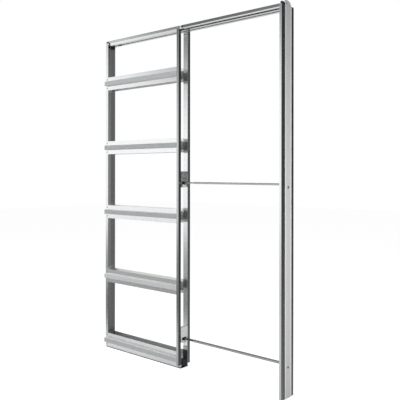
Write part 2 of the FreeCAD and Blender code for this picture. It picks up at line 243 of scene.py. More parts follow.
# %% [markdown]
# The floor is a plain pale sheet. The camera sees it almost white, with a share of real diffuse light
# left in, so that the frame keeps a faint shadow. Steel doesn't mirror it: the world already holds
# the floor's tone for reflections.

# %% Floor
FLOOR_SIDE = 30.0
FLOOR_DROP = 0.0004
FLOOR_GREY = 0.50
FLOOR_WHITE = 0.80
half = FLOOR_SIDE / 2
corners = np.array([(-half, -half), (half, -half), (half, half), (-half, half)])
corners = np.column_stack((corners, np.full(4, -FLOOR_DROP)))
floor_mesh = bpy.data.meshes.new("floor")
floor_mesh.from_pydata(corners.tolist(), [], [(0, 1, 2, 3)])
floor = bpy.data.objects.new("floor", floor_mesh)
bpy.context.scene.collection.objects.link(floor)
floor.visible_glossy = False
pale = bpy.data.materials.new("pale_floor")
pale.use_nodes = True
tree = pale.node_tree
tree.nodes.clear()
camera_ray = put(tree, "ShaderNodeLightPath").outputs["Is Camera Ray"]
shine = put(tree, "ShaderNodeEmission", Strength=figure(tree, "MULTIPLY", camera_ray, FLOOR_WHITE))
matt = put(tree, "ShaderNodeBsdfDiffuse", Color=(FLOOR_GREY, FLOOR_GREY, FLOOR_GREY, 1))
both = put(tree, "ShaderNodeAddShader", _0=shine.outputs[0], _1=matt.outputs[0])
put(tree, "ShaderNodeOutputMaterial", Surface=both.outputs[0])
floor_mesh.materials.append(pale)
print("floor", FLOOR_SIDE, "m square")

# %% [markdown]
# Every finish starts in the same way: a material, its shader, and Object coordinates. These count in metres
# on the piece itself, so a pattern keeps its true scale. Metal that was rolled or drawn has fine lines
# along its length: noise that is stretched along one axis.

# %% Helpers for finishes
def start_finish(name):
    """A new material with its shader, its node tree and Object coordinates."""
    material = bpy.data.materials.new(name)
    material.use_nodes = True
    tree = material.node_tree
    shader = tree.nodes["Principled BSDF"]
    place = put(tree, "ShaderNodeTexCoord").outputs["Object"]
    return material, tree, shader, place


def stretched(tree, place, axis, across, along):
    """Fine noise drawn out along one axis, as rolled and drawn metal has."""
    scale = [across] * 3
    scale["XYZ".index(axis)] = along
    mapped = put(tree, "ShaderNodeMapping", Vector=place, Scale=scale)
    return put(tree, "ShaderNodeTexNoise", Vector=mapped.outputs[0], Scale=1.0, Detail=3.0).outputs["Fac"]


def between(tree, fac, low, high):
    """Carry a factor from 0 to 1 onto a range."""
    return put(tree, "ShaderNodeMapRange", Value=fac, To_Min=low, To_Max=high).outputs["Result"]


def cool(grey):
    """A grey with the slight blue of zinc and bare metal."""
    return (grey, grey + 0.01, grey + 0.02)


print("helpers for finishes are ready")

# %% [markdown]
# Galvanised sheet shows zinc crystals, faint lines from the rolling mill along its length, and a slight
# unevenness that makes reflections swim. Cells, stretched noise and broad noise give the three. The lines
# follow the profile, so a function makes the finish for an axis. The tones differ a little from piece to
# piece, and the mouth's front post and the passage's header get much darker greys: painted shade.

# %% Galvanised sheet
CRYSTAL_SCALE, SWELL_SCALE = 70.0, 9.0
MILL_ACROSS, MILL_ALONG = 700.0, 4.0
GLOSS_SPREAD = 0.015


def galvanised(name, axis, dark, light, rough):
    """Zinc crystals as cells of one tone each, mill lines along the axis and a broad swell."""
    material, tree, shader, place = start_finish(name)
    cells = put(tree, "ShaderNodeTexVoronoi", Vector=place, Scale=CRYSTAL_SCALE)
    tone = put(tree, "ShaderNodeSeparateColor", Color=cells.outputs["Color"]).outputs["Red"]
    lines = stretched(tree, place, axis, MILL_ACROSS, MILL_ALONG)
    swell = put(tree, "ShaderNodeTexNoise", Vector=place, Scale=SWELL_SCALE, Detail=1.0).outputs["Fac"]
    mottle = figure(tree, "MULTIPLY_ADD", tone, 0.5, figure(tree, "MULTIPLY", lines, 0.5))
    gloss = between(tree, mottle, rough + GLOSS_SPREAD, rough - GLOSS_SPREAD)
    tree.links.new(mix(tree, mottle, cool(dark), cool(light)), shader.inputs["Base Color"])
    tree.links.new(gloss, shader.inputs["Roughness"])
    shader.inputs["Metallic"].default_value = 1.0
    fine = put(tree, "ShaderNodeBump", Height=lines, Strength=0.05, Distance=0.00004)
    broad = put(tree, "ShaderNodeBump", Height=swell, Strength=0.20, Distance=0.0006,
                Normal=fine.outputs[0])
    tree.links.new(broad.outputs[0], shader.inputs["Normal"])
    return material, tree, shader, place, broad


# Axis of the lines, dark and light grey, roughness
post_steel = galvanised("post_steel", "Z", 0.72, 0.78, 0.15)[0]
jamb_steel = galvanised("jamb_steel", "Z", 0.76, 0.82, 0.16)[0]
# The mouth's front post: painted shade, a much darker copy of the same galvanised steel.
shaded_mouth_steel = galvanised("shaded_mouth_steel", "Z", 0.45, 0.50, 0.15)[0]
rear_steel = galvanised("rear_steel", "Z", 0.73, 0.79, 0.15)[0]
header_steel = galvanised("header_steel", "X", 0.70, 0.76, 0.18)[0]
# The passage's header: painted shade, a much darker copy of the same galvanised steel.
shaded_lintel_steel = galvanised("shaded_lintel_steel", "X", 0.38, 0.44, 0.20)[0]
foot_steel = galvanised("foot_steel", "X", 0.66, 0.78, 0.30)[0]
print("galvanised finishes:", post_steel.name, header_steel.name, foot_steel.name)

# %% [markdown]
# The rails have a raised middle with a knurl pressed into it, so that screws bite instead of sliding.
# A knurl is two crossing waves, so the finish multiplies two sines on the diagonals of X and Z. A mask
# on the depth keeps it on the crown, which is duller than the bright flanges beside it. The knurl's hollows
# are painted darker and its ridges lighter, as painted shade and highlight. A ramp over the height gives
# each crown its tone, as painted reflection and shade: lighter on the second rail, darker on the third and
# fourth.

# %% Knurled rails
CROWN_DEPTH = 0.0525
KNURL_PITCH = 0.006
KNURL_SHADE_TONES = (0.86, 1.14)
CROWN_ROUGH = 0.30
FRAME_TOP = cad_box[1][2]
# Painted reflection and shade: the crown's tone for each rail, over the frame's height.
PAINTED_CROWN_SHADE = [(0.00, 0.84), (0.14, 0.84), (0.17, 1.00), (0.30, 1.00), (0.34, 0.74), (0.74, 0.74),
               (0.78, 0.86)]


def wave(tree, x, z, sign):
    """The sine of the diagonal x plus or minus z, one turn for each pitch of the knurl."""
    turn = 2 * math.pi / KNURL_PITCH
    diagonal = figure(tree, "MULTIPLY_ADD", z, sign * turn, figure(tree, "MULTIPLY", x, turn))
    return figure(tree, "SINE", diagonal)


rail_steel, tree, shader, place, swell = galvanised("rail_steel", "X", 0.78, 0.84, 0.18)
spot = put(tree, "ShaderNodeSeparateXYZ", Vector=place)
depth = figure(tree, "ABSOLUTE", spot.outputs["Y"])
crown = figure(tree, "GREATER_THAN", depth, CROWN_DEPTH)
waves = [wave(tree, spot.outputs["X"], spot.outputs["Z"], sign) for sign in (1, -1)]
pressed = figure(tree, "MULTIPLY", figure(tree, "MULTIPLY", *waves), crown)
bump = put(tree, "ShaderNodeBump", Height=pressed, Strength=0.5, Distance=0.0003, Normal=swell.outputs[0])
tree.links.new(bump.outputs[0], shader.inputs["Normal"])
level = figure(tree, "DIVIDE", spot.outputs["Z"], FRAME_TOP)
crown_shade = mix(tree, crown, (1, 1, 1), ramp(tree, level, PAINTED_CROWN_SHADE))
rail_tone = mix(tree, 1.0, shader.inputs["Base Color"].links[0].from_socket, crown_shade, "MULTIPLY")
# Painted shade in the knurl's hollows and painted highlight on its ridges.
knurl_shade = put(tree, "ShaderNodeMapRange", Value=pressed, From_Min=-1.0, To_Min=KNURL_SHADE_TONES[0],
            To_Max=KNURL_SHADE_TONES[1]).outputs["Result"]
rail_gloss = shader.inputs["Roughness"].links[0].from_socket
rail_gloss = figure(tree, "MULTIPLY_ADD", crown, CROWN_ROUGH, rail_gloss)
print("knurl pitch", KNURL_PITCH, "m on", rail_steel.name)

# %% [markdown]
# Inside the pocket the inner faces of the rails, found by a mask on the depth, are painted a little darker:
# painted shade. On all rails but the lowest, which stands in the dark of the floor, a pale veil also covers
# them and lowers the metallic share: painted light that lifts faces lying in shade. Dust lies on every face
# that looks up and joins the veil. It is a smooth step of the face's own normal, the same from wherever the
# frame is seen.

# %% Painted shade, painted light and dust on the rails
FLANGE_DEPTH = 0.0323
LOWEST_RAIL = 0.2
INNER_SHADE_TONE, INNER_ROUGH = 0.86, 0.40
DUST_START, DUST_FULL = 0.25, 0.80
DUST_AND_LIGHT_COLOUR, DUST_AND_LIGHT_METALLIC = (0.93, 0.93, 0.92), 0.15

inner = figure(tree, "LESS_THAN", depth, FLANGE_DEPTH)
# Painted shade: the inner faces of the rails, between the front and rear sheets, are darkened.
shaded_rail_tone = mix(tree, inner, rail_tone, (INNER_SHADE_TONE, INNER_SHADE_TONE, INNER_SHADE_TONE), "MULTIPLY")
shaded_rail_tone = mix(tree, 1.0, shaded_rail_tone, knurl_shade, "MULTIPLY")
tree.links.new(figure(tree, "MULTIPLY_ADD", inner, INNER_ROUGH, rail_gloss), shader.inputs["Roughness"])
# Painted light: a pale matt veil on the inner faces of all rails but the lowest, lifting faces in shade.
painted_light = figure(tree, "MULTIPLY", inner, figure(tree, "GREATER_THAN", spot.outputs["Z"], LOWEST_RAIL))
facing = put(tree, "ShaderNodeNewGeometry").outputs["True Normal"]
looks_up = put(tree, "ShaderNodeSeparateXYZ", Vector=facing).outputs["Z"]
dust = smooth(tree, looks_up, DUST_START, DUST_FULL)
dust_and_painted_light = figure(tree, "MAXIMUM", painted_light, dust)
tree.links.new(between(tree, dust_and_painted_light, 1.0, DUST_AND_LIGHT_METALLIC), shader.inputs["Metallic"])
tree.links.new(mix(tree, dust_and_painted_light, shaded_rail_tone, DUST_AND_LIGHT_COLOUR), shader.inputs["Base Color"])
print("film and dust on", rail_steel.name, "with", len(tree.nodes), "nodes")

# %% [markdown]
# The track is extruded aluminium: lines run along it without any crystals. The spacer bars are drawn
# steel with a thin zinc coat, and the lower bar's copy of it is darker as painted shade. The strip on the
# strike jamb is matt, so it shows lamp light rather than the dark side of the room. Its two long edges
# carry a painted highlight, and its sides behind the front face are painted near black as painted shade.

# %% Track, bars and strip
DRAWN_ACROSS, DRAWN_ALONG = 900.0, 3.0
STRIP_HIGHLIGHT_EDGE, STRIP_HIGHLIGHT_FADE = 0.0215, 0.002
STRIP_FACE = 0.7275
STRIP_METALLIC, EDGE_HIGHLIGHT_GREY = 0.15, 0.72
SIDE_SHADE_COLOUR = (0.085, 0.085, 0.088)
STRIP_DARK, STRIP_LIGHT = (0.51, 0.515, 0.52), (0.61, 0.615, 0.62)
ROD_DARK, ROD_LIGHT = (0.11, 0.115, 0.12), (0.18, 0.185, 0.19)


def drawn_metal(name, axis, dark, light, rough, spread):
    """A metal whose only pattern is the lines of its drawing or extrusion."""
    material, tree, shader, place = start_finish(name)
    lines = stretched(tree, place, axis, DRAWN_ACROSS, DRAWN_ALONG)
    cloud = put(tree, "ShaderNodeTexNoise", Vector=place, Scale=25.0, Detail=3.0).outputs["Fac"]
    tree.links.new(mix(tree, lines, dark, light), shader.inputs["Base Color"])
    tree.links.new(between(tree, cloud, rough - spread, rough + spread), shader.inputs["Roughness"])
    shader.inputs["Metallic"].default_value = 1.0
    bump = put(tree, "ShaderNodeBump", Height=lines, Strength=0.06, Distance=0.00004)
    tree.links.new(bump.outputs[0], shader.inputs["Normal"])
    return material, tree, shader, place


# Axis of the lines, dark and light colour, roughness and its spread
track_metal = drawn_metal("track_metal", "X", cool(0.78), cool(0.92), 0.33, 0.05)[0]
bead_metal = drawn_metal("bead_metal", "X", cool(0.84), cool(0.94), 0.16, 0.03)[0]
pocket_bead_metal = drawn_metal("pocket_bead_metal", "X", cool(0.72), cool(0.82), 0.18, 0.03)[0]
bar_metal = drawn_metal("bar_metal", "X", cool(0.66), cool(0.82), 0.34, 0.06)[0]
# Painted shade: the low bar's parts get a darker copy of the bar steel.
shaded_bar_metal = drawn_metal("shaded_bar_metal", "X", cool(0.48), cool(0.62), 0.24, 0.05)[0]
rod_metal = drawn_metal("rod_metal", "X", ROD_DARK, ROD_LIGHT, 0.36, 0.06)[0]
strip_metal, tree, shader, place = drawn_metal("strip_metal", "Z", STRIP_DARK, STRIP_LIGHT, 0.55, 0.05)
shader.inputs["Metallic"].default_value = STRIP_METALLIC
coat = shader.inputs["Base Color"].links[0].from_socket
spot = put(tree, "ShaderNodeSeparateXYZ", Vector=place)
from_middle = figure(tree, "ABSOLUTE", spot.outputs["Y"])
# Painted highlight along the strip's two long edges.
coat = mix(tree, smooth(tree, from_middle, STRIP_HIGHLIGHT_EDGE - STRIP_HIGHLIGHT_FADE, STRIP_HIGHLIGHT_EDGE), coat, cool(EDGE_HIGHLIGHT_GREY))
# Painted shade: the strip's sides, behind its front face, are near black.
shaded_side = figure(tree, "LESS_THAN", spot.outputs["X"], STRIP_FACE)
tree.links.new(mix(tree, shaded_side, coat, SIDE_SHADE_COLOUR), shader.inputs["Base Color"])
print("drawn metals:", track_metal.name, bar_metal.name, rod_metal.name, strip_metal.name)

# %% [markdown]
# The blocks that hold the bars in the pocket's mouth are moulded plastic. Moulded plastic has a fine
# spark-eroded grain and slight clouds in its colour. Rubber is made the same way, darker and more matt.

# %% Moulded plastic
GRAIN_SCALE = 1800.0
GRAIN_SPREAD = 0.06
CLOUD_START, CLOUD_FULL = 0.36, 0.64


def moulded(name, dark, light, rough, cloud_scale=40.0):
    """Plastic with clouded colour and the fine grain of its mould."""
    material, tree, shader, place = start_finish(name)
    cloud = put(tree, "ShaderNodeTexNoise", Vector=place, Scale=cloud_scale, Detail=4.0).outputs["Fac"]
    cloud = put(tree, "ShaderNodeMapRange", Value=cloud, From_Min=CLOUD_START, From_Max=CLOUD_FULL)
    grain = put(tree, "ShaderNodeTexNoise", Vector=place, Scale=GRAIN_SCALE, Detail=2.0).outputs["Fac"]
    gloss = between(tree, grain, rough - GRAIN_SPREAD, rough + GRAIN_SPREAD)
    tree.links.new(mix(tree, cloud.outputs["Result"], dark, light), shader.inputs["Base Color"])
    tree.links.new(gloss, shader.inputs["Roughness"])
    bump = put(tree, "ShaderNodeBump", Height=grain, Strength=0.2, Distance=0.0002)
    tree.links.new(bump.outputs[0], shader.inputs["Normal"])
    return material


# Dark and light colour, roughness, scale of the clouds
grey_plastic = moulded("grey_plastic", (0.10, 0.10, 0.103), (0.36, 0.36, 0.365), 0.45, 130.0)
pale_plastic = moulded("pale_plastic", (0.76, 0.76, 0.75), (0.88, 0.88, 0.87), 0.45, 90.0)
white_plastic = moulded("white_plastic", (0.62, 0.62, 0.61), (0.74, 0.74, 0.73), 0.40)
# Painted shadow: worn only by the dark strip under the lowest rails, where they meet the floor.
rubber = moulded("rubber", (0.03, 0.03, 0.031), (0.06, 0.06, 0.061), 0.60)
# Painted shade: the black strip in the passage's track groove.
groove_shade_rubber = moulded("groove_shade_rubber", (0.012, 0.012, 0.013), (0.022, 0.022, 0.023), 0.75)
# Painted shade: the dark plates inside the rails' ends at the mouth.
shade_plate_plastic = moulded("shade_plate_plastic", (0.13, 0.13, 0.133), (0.40, 0.40, 0.405), 0.50, 130.0)
black_plastic = moulded("black_plastic", (0.022, 0.022, 0.024), (0.035, 0.035, 0.038), 0.42)
print("plastics:", grey_plastic.name, pale_plastic.name, rubber.name, black_plastic.name)

# %% [markdown]
# The CAD sub-parts keep their exact shape and only change their finish. One of them, the guide block, is
# replaced further on. A table from the start of the name to the finish covers them all, and the first
# match wins.

# %% Dress the CAD sub-parts
FINISHES = (("rail_", rail_steel), ("header_passage", shaded_lintel_steel), ("header_", header_steel),
            ("track", track_metal), ("jamb_strip", strip_metal), ("jamb_", jamb_steel),
            ("back_", post_steel), ("mouth_post_rear", rear_steel), ("mouth_", shaded_mouth_steel),
            ("floor_", foot_steel), ("post_tie", header_steel), ("door_stop", black_plastic),
            ("guide_", black_plastic), ("middle_socket", grey_plastic), ("low_socket", pale_plastic),
            ("low_rod", rod_metal), ("middle_", bar_metal), ("low_", shaded_bar_metal))
for name, item in nodes.items():
    material = next(choice for start, choice in FINISHES if name.startswith(start))
    item.data.materials.clear()
    item.data.materials.append(material)
print("dressed", len(nodes), "sub-parts")

# %% [markdown]
# Small round parts, such as rivets, bushes and rims, are all turned shapes. One lathe makes them: a
# profile of radius and height is carried once round an axis. An open profile gets flat caps at both ends,
# and a closed one joins its last ring to its first. A Screw modifier could turn a profile too, but an
# array shows the formula.

# %% A lathe
def turned(profile, steps=24, sides=0):
    """Rows of rings: each ring is its radius times (cos, sin) of the angle, at its height.

    With sides, the radius is divided by the cosine of the angle to the nearest flat, as on a nut.
    """
    radius, rise = np.array(profile).T
    angle = np.linspace(0, 2 * np.pi, steps, endpoint=False)
    reach_out = np.ones(steps)
    if sides:
        flat = 2 * np.pi / sides
        reach_out = 1 / np.cos((angle + flat / 2) % flat - flat / 2)
    across = radius[:, None] * reach_out
    height = np.repeat(rise[:, None], steps, 1)
    return np.stack((across * np.cos(angle), across * np.sin(angle), height), axis=-1)


def ring_faces(rows, steps, closed=False):
    """Quads between neighbouring rings; a closed profile joins its last ring to its first."""
    row = np.arange(rows if closed else rows - 1)[:, None]
    step = np.arange(steps)[None, :]
    following = (step + 1) % steps
    below, above = row * steps, (row + 1) % rows * steps
    quads = np.stack((below + step, below + following, above + following, above + step), axis=-1)
    faces = quads.reshape(-1, 4).tolist()
    if not closed:
        faces.append(list(range(steps))[::-1])
        faces.append(list(range((rows - 1) * steps, rows * steps)))
    return faces


print("lathe ready:", turned([(1, 0), (1, 1)]).shape, "points for a plain cylinder")

# %% [markdown]
# One grid can be set down many times by adding an array of places, so forty rivets cost no more code than
# one. Every new piece joins the frame in the same way: a mesh with one finish, smooth except at its edges,
# which rides on the fixed body.

# %% Pieces and their copies
# For each direction that a piece can point in: where its own X, Y and Z go
AXES = {"+x": ((0, 1, 0), (0, 0, 1), (1, 0, 0)), "-y": ((1, 0, 0), (0, 0, 1), (0, -1, 0)),
        "+y": ((0, 0, 1), (1, 0, 0), (0, 1, 0))}


def copies(grid, faces, places, axis):
    """Set one grid down at every place, with its own axis turned to the given one."""
    points = grid.reshape(-1, 3) @ np.array(AXES[axis], float)
    all_points = (np.array(places, float)[:, None, :] + points[None, :, :]).reshape(-1, 3)
    shifts = np.arange(len(places)) * len(points)
    all_faces = [[index + int(shift) for index in face] for shift in shifts for face in faces]
    return all_points, all_faces


def add_piece(name, points, faces, material, slot, crease=40):
    """Make a piece of the frame: it rides on the fixed body; the slot is not used."""
    mesh = bpy.data.meshes.new(name)
    mesh.from_pydata(points.reshape(-1, 3).tolist(), [], faces)
    mesh.materials.append(material)
    mesh.shade_smooth()
    mesh.set_sharp_from_angle(angle=math.radians(crease))
    item = bpy.data.objects.new(name, mesh)
    bpy.context.scene.collection.objects.link(item)
    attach(item, "root")
    print(name, len(mesh.vertices), "points,", len(faces), "faces")
    return item


def add_rings(name, grid, places, material, slot):
    """Set a closed ring down at every place, with its axis along the wall."""
    faces = ring_faces(*grid.shape[:2], closed=True)
    return add_piece(name, *copies(grid, faces, places, "+x"), material, slot)


print("pieces can point along", sorted(AXES))

# %% [markdown]
# The rails are riveted to the back post and to the mouth posts, twice at each end. A blind rivet has a
# low dome with a dimple where its stem broke off. The dome is a quarter of an ellipse, so its profile is
# a cosine for the radius and a sine for the height. They sit on the flanges, whose place comes from the
# rail's box.

# %% Rivets of the rails
RIVET_RADIUS, RIVET_RISE, RIVET_RIM = 0.0048, 0.0020, 0.0006
DIMPLE_RIM, DIMPLE_FLOOR = (0.0011, 0.93), (0.0010, 0.55)
RIVET_STEPS = 20
SUNK = 0.0002
RAIL_FLANGE, SHEET = 0.029, 0.0012
FROM_BACK, FROM_MOUTH = 0.0065, 0.0095
lean = np.radians(np.linspace(0, 72, 7))
dome = np.column_stack((RIVET_RADIUS * np.cos(lean), RIVET_RIM + RIVET_RISE * np.sin(lean)))
dimple = [(radius, RIVET_RIM + RIVET_RISE * share) for radius, share in (DIMPLE_RIM, DIMPLE_FLOOR)]
rivet = turned([(RIVET_RADIUS, -SUNK), *dome, *dimple], RIVET_STEPS)
rivet_faces = ring_faces(len(rivet), RIVET_STEPS)
for side, axis in (("front", "-y"), ("rear", "+y")):
    places = []
    for number in range(1, 6):
        low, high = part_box("rail_%s_%d" % (side, number))
        outer = high[1] - SHEET if side == "front" else low[1] + SHEET
        ends = (low[0] + FROM_BACK, high[0] - FROM_MOUTH)
        heights = (low[2] + RAIL_FLANGE / 2, high[2] - RAIL_FLANGE / 2)
        places += [(x, outer, z) for x in ends for z in heights]
    add_piece("rail_rivets_" + side, *copies(rivet, rivet_faces, places, axis), bar_metal, "bar_steel")

# %% [markdown]
# The header is bolted to the back post and to the passage's header with dark hexagon bolts. A hexagon is
# a circle whose radius grows towards the corners, so the same lathe makes it, and the top edge is
# chamfered by one narrower ring. A round washer lies under each head.

# %% Header bolts
BOLT_RADIUS, BOLT_RISE, BOLT_CHAMFER, BOLT_TOP = 0.0050, 0.0042, 0.0008, 0.86
WASHER_RADIUS, WASHER_BORE, WASHER_THICK = 0.0066, 0.0030, 0.0010
HEAD_SUNK, EDGE_DOWN, EDGE_IN = 0.0001, 0.0003, 0.0004
BOLT_STEPS = 36
BOLT_FROM_BACK, BOLT_FROM_PASSAGE = 0.021, 0.0065
head = turned([(BOLT_RADIUS, WASHER_THICK - HEAD_SUNK), (BOLT_RADIUS, BOLT_RISE - BOLT_CHAMFER),
               (BOLT_RADIUS * BOLT_TOP, BOLT_RISE)], BOLT_STEPS, sides=6)
washer = turned([(WASHER_RADIUS, -SUNK), (WASHER_RADIUS, WASHER_THICK - EDGE_DOWN),
                 (WASHER_RADIUS - EDGE_IN, WASHER_THICK), (WASHER_BORE, WASHER_THICK)], BOLT_STEPS)
bolt = np.concatenate((head.reshape(-1, 3), washer.reshape(-1, 3)))
bolt_faces = ring_faces(len(head), BOLT_STEPS)
head_points = head.size // 3
bolt_faces += [[index + head_points for index in face] for face in ring_faces(len(washer), BOLT_STEPS)]
low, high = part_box("header_passage")
bolt_x = (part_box("header_pocket")[0][0] + BOLT_FROM_BACK, low[0] + BOLT_FROM_PASSAGE)
bolt_height = (low[2] + high[2]) / 2
for side, axis, depth in (("front", "-y", low[1]), ("rear", "+y", high[1])):
    places = [(x, depth, bolt_height) for x in bolt_x]
    bolts = copies(bolt, bolt_faces, places, axis)
    add_piece("header_bolts_" + side, *bolts, black_plastic, "black_plastic", crease=25)

# %% [markdown]
# Along the passage, the groove in each side of the track is filled by a black strip, painted shade for the
# dark of the groove, and above it runs a bright bead that leans a little towards the floor, so it mirrors
# the lit side of the room. Over the pocket there is no black strip, and a duller, taller bead takes its
# place.
# All are straight: one profile carried along the track. A cosine rounds the black strip, and the bead is a
# flat wedge.

# %% Painted shade in the grooves, and beads of the track
GROOVE_SHADE_LOW, GROOVE_SHADE_HIGH, GROOVE_SHADE_DEPTH, GROOVE_SHADE_PROUD = 0.0008, 0.0076, 0.0012, 0.0010
GROOVE_LOW, GROOVE_HIGH = 0.0020, 0.0056
PASSAGE_BEAD, POCKET_BEAD = (0.0078, 0.0156), (0.0006, 0.0170)
BEAD_FOOT, BEAD_TOP, BEAD_CORNER = 0.0012, 0.0022, 0.0003
GROOVE_SHADE_START, GROOVE_SHADE_END = 0.016, 0.004
RUN_STEPS = 30


def carried(slices, run):
    """Give every slice of Y and Z its X along a run; one profile alone is repeated at every X."""
    slices = np.broadcast_to(slices, (len(run), *slices.shape[-2:]))
    along = np.broadcast_to(np.asarray(run)[:, None, None], (*slices.shape[:2], 1))
    return np.concatenate((along, slices), axis=2)


def add_run(name, profile, run, material, slot):
    """Carry a profile along X; it runs anticlockwise seen from the far end, so faces point outwards."""
    area = np.sum(profile[:, 0] * np.roll(profile[:, 1], -1) - np.roll(profile[:, 0], -1) * profile[:, 1])
    grid = carried(profile if area > 0 else profile[::-1], run)
    return add_piece(name, grid, ring_faces(*grid.shape[:2]), material, slot)


def wedge(foot, top):
    """A wedge from a foot up to the header's edge, with its two outer corners broken."""
    return np.array([(-SUNK, foot), (BEAD_FOOT - BEAD_CORNER, foot), (BEAD_FOOT, foot + BEAD_CORNER),
                     (BEAD_TOP, top - BEAD_CORNER), (BEAD_TOP - BEAD_CORNER, top), (-SUNK, top)])


track_low, track_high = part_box("track")
pocket_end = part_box("header_pocket")[1][0] - GROOVE_SHADE_START
passage = np.linspace(pocket_end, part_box("jamb_channel")[0][0] + GROOVE_SHADE_END, RUN_STEPS)
pocket = np.linspace(track_low[0], pocket_end, RUN_STEPS)
turn = np.linspace(-np.pi / 2, np.pi / 2, 11)
groove_shade_middle, groove_shade_half = (GROOVE_SHADE_LOW + GROOVE_SHADE_HIGH) / 2, (GROOVE_SHADE_HIGH - GROOVE_SHADE_LOW) / 2
bulge = np.column_stack((GROOVE_SHADE_PROUD * np.cos(turn), groove_shade_middle + groove_shade_half * np.sin(turn)))
stem = [(0, GROOVE_HIGH), (-GROOVE_SHADE_DEPTH, GROOVE_HIGH), (-GROOVE_SHADE_DEPTH, GROOVE_LOW), (0, GROOVE_LOW)]
groove_shade = np.vstack((bulge, stem))
for side, sign, depth in (("front", -1, track_low[1]), ("rear", 1, track_high[1])):
    outward, foot = np.array((sign, 1)), np.array((depth, track_low[2]))
    add_run("track_groove_shade_" + side, groove_shade * outward + foot, passage, groove_shade_rubber, "black_plastic")
    add_run("pocket_bead_" + side, wedge(*POCKET_BEAD) * outward + foot, pocket, pocket_bead_metal,
            "track_aluminium")
    add_run("passage_bead_" + side, wedge(*PASSAGE_BEAD) * outward + foot, passage, bead_metal,
            "track_aluminium")

# %% [markdown]
# The track's closed end has a black moulded plug, which shows as a dark gap beside the back post. Its
# section is a superellipse, an oval with squared shoulders. It stays the same all the way, and the outer
# end is drawn in by a cosine, so that its edge is soft.

# %% Plug in the track's end
PLUG_LENGTH, PLUG_INSET, PLUG_TUCK = 0.0150, 0.0010, 0.0010
PLUG_LAP, PLUG_EDGE, PLUG_DRAW = 0.002, 0.002, 0.06
PLUG_STEPS, PLUG_POWER = 48, 0.25


def superellipse(angle, half_wide, half_tall, power):
    """Cosine and sine raised to a power, each with its own sign; a smaller power is squarer."""
    swing = [np.sign(value) * np.abs(value) ** power for value in (np.cos(angle), np.sin(angle))]
    return np.column_stack((swing[0] * half_wide, swing[1] * half_tall))


around = np.linspace(0, 2 * np.pi, PLUG_STEPS, endpoint=False)
half_y = (track_high[1] - track_low[1]) / 2 - PLUG_INSET
half_z = (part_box("header_pocket")[0][2] + PLUG_LAP - track_low[2]) / 2
oval = superellipse(around, half_y, half_z, PLUG_POWER)
fade = np.radians(np.linspace(90, 0, 6))
shrink = np.concatenate((1 - PLUG_DRAW * (1 - np.cos(fade)), [1.0]))
outer_end = track_low[0] - PLUG_LENGTH
run = np.concatenate((outer_end + PLUG_EDGE * (1 - np.sin(fade)), [track_low[0] + PLUG_TUCK]))
plug = carried(shrink[:, None, None] * oval, run) + np.array((0, 0, track_low[2] + half_z))
add_piece("track_plug", plug, ring_faces(len(run), PLUG_STEPS), black_plastic, "black_plastic")

# %% [markdown]
# A thin black clip covers the joint of the header, the track and the back post on both faces. It is a
# flat cushion: a superellipse for its outline, with its edge rounded by a quarter turn.

# %% End clips of the header
END_CLIP, END_CLIP_POWER = (0.0066, 0.0112, 0.0012), 0.3
FIT_GAP = 0.0005


def raised(slices, lift):
    """Give every slice of X and Y its height."""
    up = np.broadcast_to(lift[:, None, None], (*slices.shape[:2], 1))
    return np.concatenate((slices, up), axis=2)


def cushion(half_wide, half_tall, thick, power):
    """Rows of one superellipse, drawn in by a cosine while its height rises by a sine."""
    edge_turn = np.radians(np.linspace(0, 90, 5))
    outline = superellipse(around, half_wide, half_tall, power)
    inset = np.concatenate(([0], 1 - np.cos(edge_turn))) * thick
    drawn = outline[None] * (1 - inset[:, None, None] / np.array((half_wide, half_tall)))
    return raised(drawn, np.concatenate(([-SUNK], thick * np.sin(edge_turn))))


def add_cushions(name, grid, places, axis, material, slot):
    """Set cushions down on a face that looks along -y or +y, wide along X and tall along Z."""
    grid = grid if axis == "-y" else grid[:, :, [1, 0, 2]][:, ::-1]
    return add_piece(name, *copies(grid, ring_faces(*grid.shape[:2]), places, axis), material, slot)


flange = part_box("header_pocket")
clip = cushion(*END_CLIP, END_CLIP_POWER)
for side, axis, depth in (("front", "-y", flange[0][1]), ("rear", "+y", flange[1][1])):
    places = [(track_low[0] - END_CLIP[0] - FIT_GAP, depth, track_low[2] + END_CLIP[1])]
    add_cushions("header_clip_" + side, clip, places, axis, black_plastic, "black_plastic")

# %% [markdown]
# Dark plates sit inside the upper rails at the pocket's mouth: painted shade, standing in for the dark
# inside the rails' ends. They are the same cushion, larger and squarer, and end at the mouth posts.

# %% Painted shade inside the mouth
SHADE_PLATE_HALF, SHADE_PLATE_POWER = (0.0420, 0.0265, 0.0012), 0.15
shade_plate = cushion(*SHADE_PLATE_HALF, SHADE_PLATE_POWER)
for side, axis, inner_face in (("front", "+y", 1), ("rear", "-y", 0)):
    rails = [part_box("rail_%s_%d" % (side, number)) for number in range(2, 6)]
    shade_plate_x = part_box("mouth_post_" + side)[0][0] - SHADE_PLATE_HALF[0] - FIT_GAP
    places = [(shade_plate_x, ends[inner_face][1], (ends[0][2] + ends[1][2]) / 2) for ends in rails]
    add_cushions("mouth_shade_plates_" + side, shade_plate, places, axis, shade_plate_plastic, "black_plastic")

# %% [markdown]
# Each rod passes through a black flanged bush in the mouth, and each tube has a rolled rim at its open
# end. Both are rings, so their profile is closed: it starts and ends inside, and no caps are needed.

